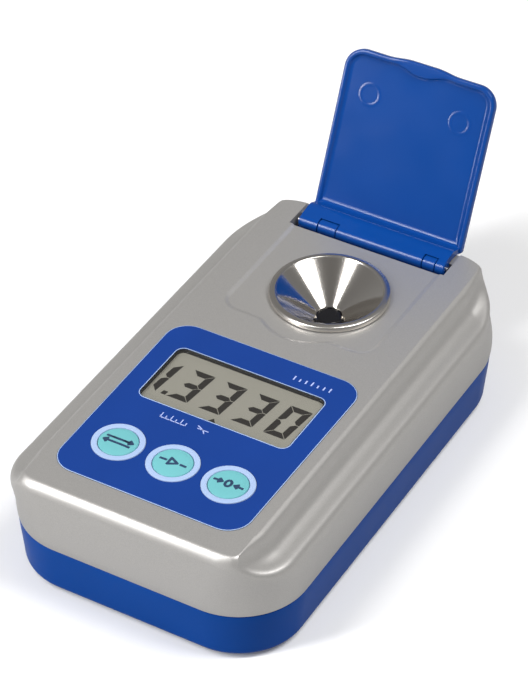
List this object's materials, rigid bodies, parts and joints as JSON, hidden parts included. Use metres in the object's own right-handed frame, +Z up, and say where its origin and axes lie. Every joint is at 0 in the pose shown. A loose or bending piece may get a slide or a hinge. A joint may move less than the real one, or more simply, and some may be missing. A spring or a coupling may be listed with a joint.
{
  "type": "digital refractometer",
  "caption": "Pocket digital refractometer: a two-part case with push buttons, a display, a steel sample well over a prism, and a hinged sample cover.",
  "frame": {"origin": "on the table, under the middle of the object's length and width with its cover open", "axes": "+X to the right as the display is read, +Y from the buttons to the cover hinge, +Z up"},
  "size_m": [0.09, 0.1729, 0.0849],
  "materials": {
    "silver_paint": "satin silver paint on a moulded shell",
    "blue_plastic": "semi-gloss blue",
    "blue_label": "satin printed film",
    "turquoise_caps": "soft matt",
    "pale_rings": "satin",
    "clear_plastic": "clear, polished",
    "display_glass": "grey-green liquid-crystal glass",
    "black_plastic": "matt black",
    "black_rubber": "matt black",
    "green_board": "solder mask",
    "brass": "turned brass",
    "amber_flex": "polyimide film",
    "polished_steel": "polished stainless steel",
    "optical_glass": "polished optical glass, dark because the housing behind it is black",
    "lamp_lens": "clear epoxy lamp",
    "chip_resin": "moulded resin",
    "battery_sleeve": "printed sleeve, no wording",
    "nickel_plate": "nickel-plated spring steel",
    "plain_steel": "plain steel"
  },
  "bodies": {
    "case": {"top_shell": "silver_paint", "bottom_shell": "blue_plastic", "case_gasket": "black_rubber", "keypad_label": "blue_label", "display_window": "clear_plastic", "display_frame": "black_plastic", "display_glass": "display_glass", "display_connector": "black_rubber", "main_board": "green_board", "sensor_board": "green_board", "flex_cable": "amber_flex", "sample_well": "polished_steel", "optics_housing": "black_plastic", "prism": "optical_glass", "prism_seal": "black_rubber", "light_source": "lamp_lens", "imaging_lens": "clear_plastic", "image_sensor": "chip_resin", "temperature_sensor": "chip_resin", "battery_left": "battery_sleeve", "battery_right": "battery_sleeve", "battery_contact_front": "nickel_plate", "battery_contact_rear": "nickel_plate", "hinge_bracket": "blue_plastic", "hinge_pin": "plain_steel", "button_ring_scale": "pale_rings", "switch_scale": "chip_resin", "button_ring_read": "pale_rings", "switch_read": "chip_resin", "button_ring_zero": "pale_rings", "switch_zero": "chip_resin", "case_screw_left_front": "plain_steel", "foot_left_front": "black_rubber", "board_spacer_left_front": "brass", "case_screw_left_rear": "plain_steel", "foot_left_rear": "black_rubber", "board_spacer_left_rear": "brass", "case_screw_right_front": "plain_steel", "foot_right_front": "black_rubber", "board_spacer_right_front": "brass", "case_screw_right_rear": "plain_steel", "foot_right_rear": "black_rubber", "board_spacer_right_rear": "brass"},
    "cover": {"cover": "blue_plastic"},
    "battery_door": {"battery_door": "blue_plastic"},
    "button_scale": {"button_scale": "turquoise_caps"},
    "button_read": {"button_read": "turquoise_caps"},
    "button_zero": {"button_zero": "turquoise_caps"}
  },
  "joints": [
    {"name": "cover_hinge", "type": "hinge", "parent": "case", "child": "cover", "pos_m": [0, 0.05487, 0.038], "axis": [1, 0, 0], "range_deg": [0, 120]},
    {"name": "battery_door_hinge", "type": "hinge", "parent": "case", "child": "battery_door", "pos_m": [0, -0.00753, 0.0016], "axis": [1, 0, 0], "range_deg": [0, 100]},
    {"name": "scale_press", "type": "slide", "parent": "case", "child": "button_scale", "axis": [0, 0, -1], "range_m": [0, 0.0005], "stiffness_N_per_m": 600, "springref_m": -0.0005},
    {"name": "read_press", "type": "slide", "parent": "case", "child": "button_read", "axis": [0, 0, -1], "range_m": [0, 0.0005], "stiffness_N_per_m": 600, "springref_m": -0.0005},
    {"name": "zero_press", "type": "slide", "parent": "case", "child": "button_zero", "axis": [0, 0, -1], "range_m": [0, 0.0005], "stiffness_N_per_m": 600, "springref_m": -0.0005}
  ]
}
